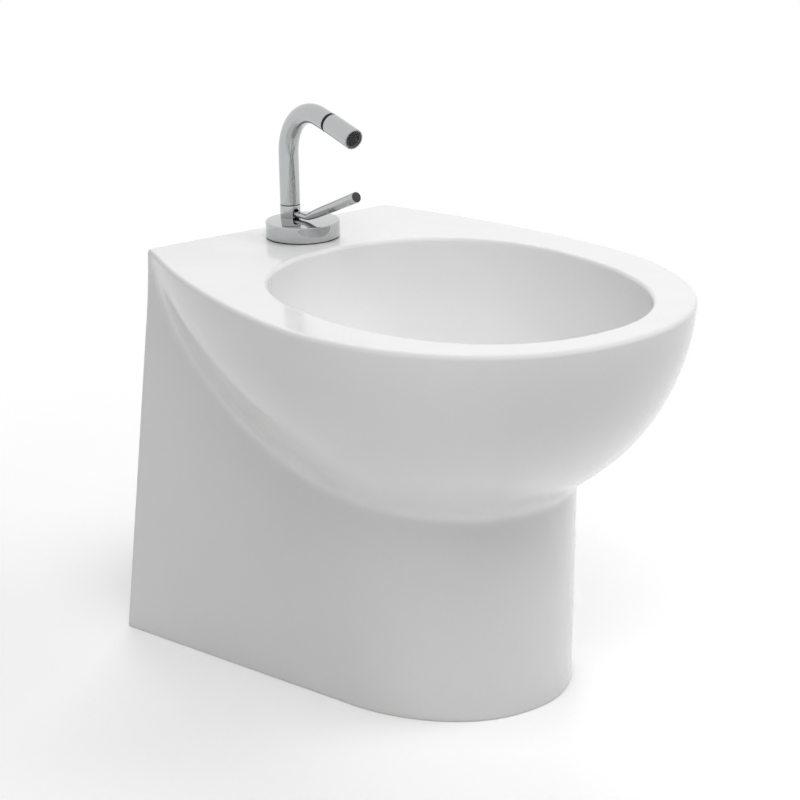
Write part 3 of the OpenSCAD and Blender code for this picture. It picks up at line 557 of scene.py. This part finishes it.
def glazed_rings():
    """Up the skin, over the rim and down the basin to the drain hole."""
    waist = RIM_H - 200     # about where the bowl has closed
    heights = np.concatenate([np.linspace(FOOT_R, waist, 40), np.linspace(waist, RIM_H - RIM_R, 90)[1:]])
    outside = [outer_ring(z) for z in heights]
    rim = [outer_ring(RIM_H, RIM_R * (1 - math.cos(a)), RIM_H - RIM_R + RIM_R * math.sin(a))
           for a in np.radians(np.linspace(0, 90, 10)[1:])]
    shares = (0.02, 0.06, 0.15, 0.3, 0.5, 0.7, 0.85, 0.94, 0.98)
    deck = between(outer_ring(RIM_H, RIM_R), basin_edge_ring(90), shares)
    edge = [basin_edge_ring(a) for a in np.linspace(90, 0, 10)]
    basin = [basin_ring(q) for q in np.linspace(0, 90, 90)[1:]]
    drain = [drain_ring(SEAT_Z, r) for r in (32, 28, DRAIN_R)]
    return outside + rim + deck + edge + basin + drain


REAR_HALF, REAR_H, REAR_R = 103.0, 322.0, 30.0      # the opening in the back
TAP_Y, TAP_HOLE_R = 210.0, 17.5
HAIR_X, HAIR_Y = 0.9992, 0.99985                    # keeps the skin a hair inside the solid's box
PAST = 5.0                                          # how far a tool runs past what it cuts


def build_china():
    raw, glazed = raw_rings(), glazed_rings()
    verts = np.concatenate(raw + glazed) * MM
    wall = WALL_Y * MM
    verts[:, 0] *= HAIR_X
    verts[:, 1] = wall + (verts[:, 1] - wall) * HAIR_Y
    index = np.repeat([1, 0], [len(raw) * RING_N, len(glazed) * RING_N])
    faces = ring_faces(len(raw) + len(glazed), RING_N, True)
    ob = mesh_object("china_body", verts, faces, [MATS["china"], biscuit()], index)
    arc = [(REAR_HALF - REAR_R + REAR_R * math.cos(a), REAR_H - REAR_R + REAR_R * math.sin(a))
           for a in np.radians(np.linspace(0, 90, 13))]
    opening = [(REAR_HALF, -PAST)] + arc + [(-x, z) for x, z in arc[::-1]] + [(-REAR_HALF, -PAST)]
    take_away(ob, prism("cut_back", opening, WALL_Y - CHINA_T - PAST, WALL_Y + PAST))
    tap_hole = rod("cut_tap", TAP_HOLE_R, CEILING - PAST, RIM_H + PAST, 64)
    take_away(ob, moved(tap_hole, offset(0, TAP_Y, 0)))
    smooth_over(ob, 35)
    placed(ob, "bidet", "china", "ceramic_body")


build_china()


# ---- tap: the pieces that show, drawn finely over the solids ----
BASE_Z, BASE_TOP, BASE_R = 391.2, 406.7, 37.0
SKIRT_R, SKIRT_BORE, SKIRT_DROP = 16.7, 14.1, 7.0
INLET_X, INLET_Y, INLET_R, INLET_DEPTH = 8.2, TAP_Y + 3, 4.5, 13
PIPE_Y, SPOUT_Z, SPOUT_R, CORE_R, CORE_LOW, CORE_H = 231.5, 419.7, 9.99, 4.8, 403.4, 16.5
BEND_Z, BEND_R, FALL, ARM = 470.5, 46.0, 12.5, 16.945
COLLAR_BORE, COLLAR_R, COLLAR_H, SLOT_HALF, SLOT_ARCH_Z = 4.9, 10.2, 12.0, 3.7, 412.3
SLOT_INNER = 4.0                                    # how near the slot comes to the collar's axis
PIN_SHORT = 0.8                                     # how much shorter each end is than the solid's
NECK_Z, NECK_R, PIVOT_Y, NECK_BEHIND = 410.7, 3.0, 223.7, 1.6
KNEE_Y, KNEE = 201.7, 5.0                           # the knee's corner, and its reach to either side
STICK, STICK_RISE, STICK_R, STICK_TIP_R, TIP_CHAMFER = 92.0, 22.5, 5.4, 5.15, 0.5
STICK_SLIM, FLARE, FLARE_REACH = 0.6, 1.6, 13.5     # thinner towards the knee, and thinner still near it
TIP_BORE, TIP_DEPTH = 4.95, 5.0
BALL_OUT, NOZZLE_TILT = 8.8, 2.0                    # the ball's centre lies BALL_OUT beyond the arm's end
NOZZLE_BACK, NOZZLE_END, NOZZLE_BACK_R, NOZZLE_R, NOZZLE_BORE = -6.0, 33.0, 9.0, 10.2, 8.0
LIP_DEPTH, LIP_BORE = 3.5, 8.75
AERATOR_BACK, AERATOR_FLOOR, AERATOR_END = 16.4, 29.2, 32.1
WATERWAY_R, SCREEN_R, SCREEN_Z, WIRE_PITCH, WIRE_R = 4.0, 7.3, 30.6, 1.05, 0.21
PLAY, TIGHT = 0.1, 0.02                             # clearances of fitted pieces and of pushed-in ones


def build_base():
    """A polished turning with soft edges, a centring skirt below and the two tapped inlets."""
    h = BASE_TOP - BASE_Z
    profile = [(0, 0), (SKIRT_BORE, 0), (SKIRT_BORE, -SKIRT_DROP), (SKIRT_R, -SKIRT_DROP), (SKIRT_R, 0),
               (BASE_R, 0), (BASE_R, h), (0, h)]
    disc = turned("tap_disc", rounded(profile, {3: 0.4, 5: 0.7, 6: 0.9}, 7), MATS["chrome"], 256)
    disc.data.transform(offset(0, TAP_Y, BASE_Z))
    for x in (-INLET_X, INLET_X):
        take_away(disc, moved(rod("cut_inlet", INLET_R, -PAST, INLET_DEPTH, 40), offset(x, INLET_Y, BASE_Z)))
    clean(disc)
    placed(disc, "bidet", "chrome", "tap_base")


def spout_path():
    """(y, z) points up the tube, round the bend and down the arm."""
    fall = math.radians(FALL)
    upright = [(PIPE_Y, z) for z in np.linspace(SPOUT_Z, BEND_Z, 8)[:-1]]
    bend = [(PIPE_Y - BEND_R + BEND_R * math.cos(t), BEND_Z + BEND_R * math.sin(t))
            for t in np.radians(np.linspace(0, 90 + FALL, 72))]
    end = (bend[-1][0] - ARM * math.cos(fall), bend[-1][1] - ARM * math.sin(fall))
    return upright + bend + [end]


def build_spout():
    """Upright, bend and arm in one unbroken skin, on the core that the collar turns on."""
    placed(tube("spout_tube", spout_path(), SPOUT_R, MATS["chrome"]), "bidet", "chrome", "spout")
    profile = rounded([(0, 0), (CORE_R, 0), (CORE_R, CORE_H), (0, CORE_H)], {1: 0.3}, 3)
    core = turned("spout_core", profile, MATS["chrome"], 64)
    placed(moved(core, offset(0, PIPE_Y, CORE_LOW)), "bidet", "chrome")


def build_collar():
    """The turning collar with the upright slot that the neck lifts in, and its hinge pin."""
    profile = [(COLLAR_BORE, 0), (COLLAR_R, 0), (COLLAR_R, COLLAR_H), (COLLAR_BORE, COLLAR_H)]
    collar = turned("collar_ring", rounded(profile, {1: 0.25, 2: 0.35}, 4), MATS["chrome"], 192)
    collar.data.transform(offset(0, PIPE_Y, BASE_TOP))
    arch = [(SLOT_HALF * math.cos(t), SLOT_ARCH_Z + SLOT_HALF * math.sin(t))
            for t in np.linspace(0, math.pi, 25)]
    slot = [(-SLOT_HALF, BASE_TOP - PAST), (SLOT_HALF, BASE_TOP - PAST)] + arch
    take_away(collar, prism("cut_slot", slot, PIPE_Y - COLLAR_R - PAST, PIPE_Y - SLOT_INNER))
    clean(collar)
    placed(collar, "collar", "chrome", "lever_collar")
    low, high = (Vector(c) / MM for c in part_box("lever_pin"))
    r, half, mid = (high.z - low.z) / 2, high.x - PIN_SHORT, (low + high) / 2
    profile = rounded([(0, -half), (r, -half), (r, half), (0, half)], {1: 0.2, 2: 0.2}, 4)
    pin = turned("hinge_pin", profile, MATS["steel"], 32)
    pin.data.transform(Matrix.Rotation(math.pi / 2, 4, "Y"))
    placed(moved(pin, offset(0, mid.y, mid.z)), "collar", "steel", "lever_pin")


def stick_r(d):
    """The stick's radius at so many millimetres from the knee."""
    return STICK_R - STICK_SLIM * (1 - d / STICK) - FLARE * math.exp(-((d + 1) / FLARE_REACH) ** 1.5)


def lever_path():
    """(y, z) points and radii from the pivot, round the knee and out to the tip, without a seam."""
    rise = math.radians(STICK_RISE)
    out = np.array((-math.cos(rise), math.sin(rise)))
    knee = np.array((KNEE_Y, NECK_Z))
    start, end = knee + (KNEE, 0), knee + KNEE * out
    path = [(PIVOT_Y + NECK_BEHIND, NECK_Z), (PIVOT_Y - 4, NECK_Z), tuple(start + (2, 0))]
    radii = [NECK_R] * 3
    swell = stick_r(KNEE) - NECK_R
    tiny = 0.01
    slope = 2 * KNEE * (stick_r(KNEE + tiny) - stick_r(KNEE - tiny)) / (2 * tiny)
    for t in np.linspace(0, 1, 14):
        path.append(tuple((1 - t) ** 2 * start + 2 * t * (1 - t) * knee + t * t * end))
        radii.append(NECK_R + (3 * swell - slope) * t ** 2 + (slope - 2 * swell) * t ** 3)
    for d in [*np.linspace(KNEE + 0.6, 30, 26), 36, 46, 60, 76, STICK - TIP_CHAMFER]:
        path.append(tuple(knee + d * out))
        radii.append(stick_r(d))
    return path + [tuple(knee + STICK * out)], radii + [STICK_TIP_R]


def build_lever():
    """Neck and stick in one skin, with a dark plug in the stick's end."""
    path, radii = lever_path()
    lever = tube("lever_arm", path, radii, MATS["chrome"])
    at_tip = along(path[-1], -STICK_RISE)
    take_away(lever, moved(rod("cut_tip", TIP_BORE, -TIP_DEPTH, PAST, 64), at_tip))
    clean(lever)
    placed(lever, "lever", "chrome", "lever_neck", "lever_stick")
    r, low = TIP_BORE - TIGHT, PLAY - TIP_DEPTH
    profile = rounded([(0, low), (r, low), (r, -0.35), (2.2, -0.2), (0, -0.16)], {2: 0.3}, 5)
    end = turned("lever_end", profile, MATS["black_plastic"], 96)
    placed(moved(end, at_tip), "lever", "black_plastic", "lever_plug")


def build_nozzle():
    """A thin-lipped sleeve, and a dark aerator with its woven screen."""
    fall = math.radians(FALL)
    y, z = spout_path()[-1]
    aim = along((y - BALL_OUT * math.cos(fall), z - BALL_OUT * math.sin(fall)), FALL + NOZZLE_TILT)
    lip = NOZZLE_END - LIP_DEPTH
    shoulder = NOZZLE_BACK + NOZZLE_R - NOZZLE_BACK_R
    sleeve = [(NOZZLE_BACK_R, NOZZLE_BACK), (NOZZLE_R, shoulder), (NOZZLE_R, NOZZLE_END),
              (LIP_BORE, NOZZLE_END), (LIP_BORE, lip), (NOZZLE_BORE, lip), (NOZZLE_BORE, NOZZLE_BACK)]
    shell = turned("nozzle_shell", rounded(sleeve, {0: 0.3, 1: 0.6, 2: 0.7, 3: 0.35}, 7), MATS["chrome"], 192)
    placed(moved(shell, aim), "nozzle", "chrome", "nozzle_sleeve")
    rest, rim_r = lip + PLAY, LIP_BORE - PLAY / 2
    aerator = [(WATERWAY_R, AERATOR_BACK), (NOZZLE_BORE, AERATOR_BACK), (NOZZLE_BORE, rest),
               (rim_r, rest), (rim_r, AERATOR_END), (SCREEN_R, AERATOR_END),
               (SCREEN_R, AERATOR_FLOOR), (WATERWAY_R, AERATOR_FLOOR)]
    cup = turned("aerator_ring", rounded(aerator, {4: 0.3, 5: 0.5}, 5), MATS["grey_plastic"], 128)
    placed(moved(cup, aim), "nozzle", "grey_plastic", "aerator_body")
    mesh = woven("aerator_mesh", SCREEN_R - TIGHT, SCREEN_Z, WIRE_PITCH, WIRE_R, MATS["screen"])
    placed(moved(mesh, aim), "nozzle", "grey_plastic", "aerator_screen")


def woven(name, radius, level, pitch, wire, mat):
    """A round patch of plain-woven wire, each wire a six-sided bar that rides over and under."""
    verts, faces = [], []
    sides = 6
    count = int(radius / pitch)
    for way in (0, 1):
        for k in range(-count, count + 1):
            off = k * pitch
            half = math.sqrt(radius ** 2 - off ** 2)
            if half < pitch:
                continue
            steps = max(int(2 * half / pitch * 4), 8)
            faces += ring_faces(steps + 1, sides, False, len(verts))
            for t in np.linspace(-half, half, steps + 1):
                wave = 1.05 * wire * math.cos(math.pi * (t / pitch + k + way))
                for v in round_angles(sides):
                    side, lift = off + wire * math.cos(v), level + wave + wire * math.sin(v)
                    x, y = (t, side) if way == 0 else (side, t)
                    verts.append((x * MM, y * MM, lift * MM))
    ob = mesh_object(name, verts, faces, [mat])
    clean(ob, 50)
    return ob


build_base()
build_spout()
build_collar()
build_lever()
build_nozzle()


# ---- waste and push plug: the pieces that show in the basin, and the thread below ----
SEAT, FLANGE_TOP, WASTE_LOW, THREAD_TOP = 241.5, 244.5, 174.0, 225.0
WASTE_BORE, THREAD_R, THREAD_DEPTH, PITCH = 17.0, 21.0, 0.5, 1.8
FLANGE_R, CREST_OUT, CREST_IN, MOUTH_R, FLANGE_T = 31.0, 29.2, 25.0, 22.2, 0.5
PLUG_FOOT_R, PLUG_R, PLUG_LOW, PLUG_HIGH, PLUG_H = 23.0, 24.5, 1.6, 2.9, 4.6
DOME_R, DOME_Z, DOME_RISE = 23.4, 3.5, 1.1


def thread(r, low, high):
    """Roots and crests up a threaded wall, as grooves round it."""
    out = []
    for z in np.arange(low, high - PITCH, PITCH):
        root = r - THREAD_DEPTH
        out += [(root, z), (root, z + 0.2 * PITCH), (r, z + 0.5 * PITCH), (r, z + 0.7 * PITCH)]
    return out


def build_waste():
    wall = [(WASTE_BORE, WASTE_LOW)] + thread(THREAD_R, WASTE_LOW + 0.5, THREAD_TOP - 1)
    wall += [(THREAD_R, THREAD_TOP), (THREAD_R, SEAT)]
    top = SEAT + FLANGE_T
    flange = [(FLANGE_R, SEAT), (FLANGE_R, top), (CREST_OUT, FLANGE_TOP),
              (CREST_IN, FLANGE_TOP), (MOUTH_R, top), (WASTE_BORE, top)]
    n = len(wall)
    profile = rounded(wall + flange, {n: 0.2, n + 1: 0.4, n + 2: 1.4, n + 3: 0.4, n + 5: 0.4}, 7)
    waste = turned("waste_flange", profile, MATS["chrome"], 192)
    placed(moved(waste, offset(0, DRAIN_Y, 0)), "bidet", "chrome", "waste_body")


def build_plug():
    dome = [(DOME_R * math.sin(t), DOME_Z + DOME_RISE * math.cos(t))
            for t in np.radians(np.linspace(80, 6, 16))]
    profile = [(0, 0), (PLUG_FOOT_R, 0), (PLUG_R, PLUG_LOW), (PLUG_R, PLUG_HIGH)] + dome + [(0, PLUG_H)]
    button = turned("plug_button", rounded(profile, {1: 0.3, 2: 0.5, 3: 0.6}, 6), MATS["chrome"], 192)
    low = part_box("plug_cap")[0][2] / MM
    placed(moved(button, offset(0, DRAIN_Y, low)), "plug", "chrome", "plug_cap")


build_waste()
build_plug()


# ---- floor, light and world ----
FLOOR_HALF, FLOOR_PALE, FLOOR_GLOW = 12, 0.95, 0.20
FADE_FROM, FADE_TO = 0.55, 1.1          # metres from the origin, where the floor turns to plain white
# soft lamps round the object: compass angle and rise in degrees, width in metres, watts
LAMPS = {
    "high_left": (-30, 63, 1.5, 39.5),
    "high_right": (90, 63, 1.5, 8.5),
    "low_left": (-80, 12, 1.2, 6.8),
    "mid_left": (-60, 38, 1.5, 4.2),
    "mid_right": (60, 38, 1.5, 22.0),
    "back_right": (150, 38, 1.5, 27.5),
}
LAMP_REACH, LAMP_MID, LAMP_TARGET = 2.8, Vector((0, 0, 0.2)), Vector((0, 0, 0.25))


def new_nodes(tree, *kinds):
    return [tree.nodes.new("ShaderNode" + kind) for kind in kinds]


def mixed(tree, fac, a, b):
    mix, = new_nodes(tree, "MixShader")
    for value, socket in zip((fac, a, b), mix.inputs):
        tree.links.new(value, socket)
    return mix.outputs[0]


def where_seen(tree, hidden, seen):
    """The seen shader for camera, glossy and transmission rays, and the hidden one for all others."""
    path, = new_nodes(tree, "LightPath")
    fac = path.outputs["Is Camera Ray"]
    for ray in ("Is Glossy Ray", "Is Transmission Ray"):
        either, = new_nodes(tree, "Math")
        either.operation = "MAXIMUM"
        tree.links.new(fac, either.inputs[0])
        tree.links.new(path.outputs[ray], either.inputs[1])
        fac = either.outputs[0]
    return mixed(tree, fac, hidden, seen)


def make_floor():
    """A wide pale floor. Seen directly or in a reflection it fades to white away from the object."""
    s = FLOOR_HALF
    floor = mesh_object("floor", [(-s, -s, 0), (s, -s, 0), (s, s, 0), (-s, s, 0)], [[0, 1, 2, 3]], [])
    mat = bpy.data.materials.new("floor_pale")
    mat.use_nodes = True
    tree = mat.node_tree
    tree.nodes.clear()
    out, plain, glow, both, white = new_nodes(tree, "OutputMaterial", "BsdfDiffuse", "Emission", "AddShader",
                                              "Emission")
    coord, far, fade = new_nodes(tree, "TexCoord", "VectorMath", "MapRange")
    plain.inputs["Color"].default_value = (FLOOR_PALE, FLOOR_PALE, FLOOR_PALE, 1)
    glow.inputs["Strength"].default_value = FLOOR_GLOW
    tree.links.new(plain.outputs[0], both.inputs[0])
    tree.links.new(glow.outputs[0], both.inputs[1])
    far.operation = "LENGTH"
    tree.links.new(coord.outputs["Object"], far.inputs[0])
    fade.interpolation_type = "SMOOTHSTEP"
    fade.inputs["From Min"].default_value = FADE_FROM
    fade.inputs["From Max"].default_value = FADE_TO
    tree.links.new(far.outputs["Value"], fade.inputs["Value"])
    faded = mixed(tree, fade.outputs[0], both.outputs[0], white.outputs[0])
    tree.links.new(where_seen(tree, plain.outputs[0], faded), out.inputs["Surface"])
    floor.data.materials.append(mat)


def add_lamp(name, turn, rise, width, watts):
    """A square soft lamp that doesn't show in the chrome."""
    light = bpy.data.lights.new(name, "AREA")
    light.energy = watts
    light.size = width
    ob = bpy.data.objects.new(name, light)
    scene.collection.objects.link(ob)
    ob.location = toward(turn, rise) * LAMP_REACH + LAMP_MID
    ob.rotation_euler = (LAMP_TARGET - ob.location).to_track_quat("-Z", "Y").to_euler()
    ob.visible_glossy = False


def make_world():
    """White where it is seen, and no light of its own."""
    world = bpy.data.worlds.new("studio")
    scene.world = world
    world.use_nodes = True
    tree = world.node_tree
    tree.nodes.clear()
    out, dark, white = new_nodes(tree, "OutputWorld", "Background", "Background")
    dark.inputs["Strength"].default_value = 0
    white.inputs["Color"].default_value = (1, 1, 1, 1)
    white.inputs["Strength"].default_value = 1
    tree.links.new(where_seen(tree, dark.outputs[0], white.outputs[0]), out.inputs["Surface"])


make_floor()
for name, lamp in LAMPS.items():
    add_lamp("lamp_" + name, *lamp)
make_world()
scene.view_settings.view_transform = "Standard"
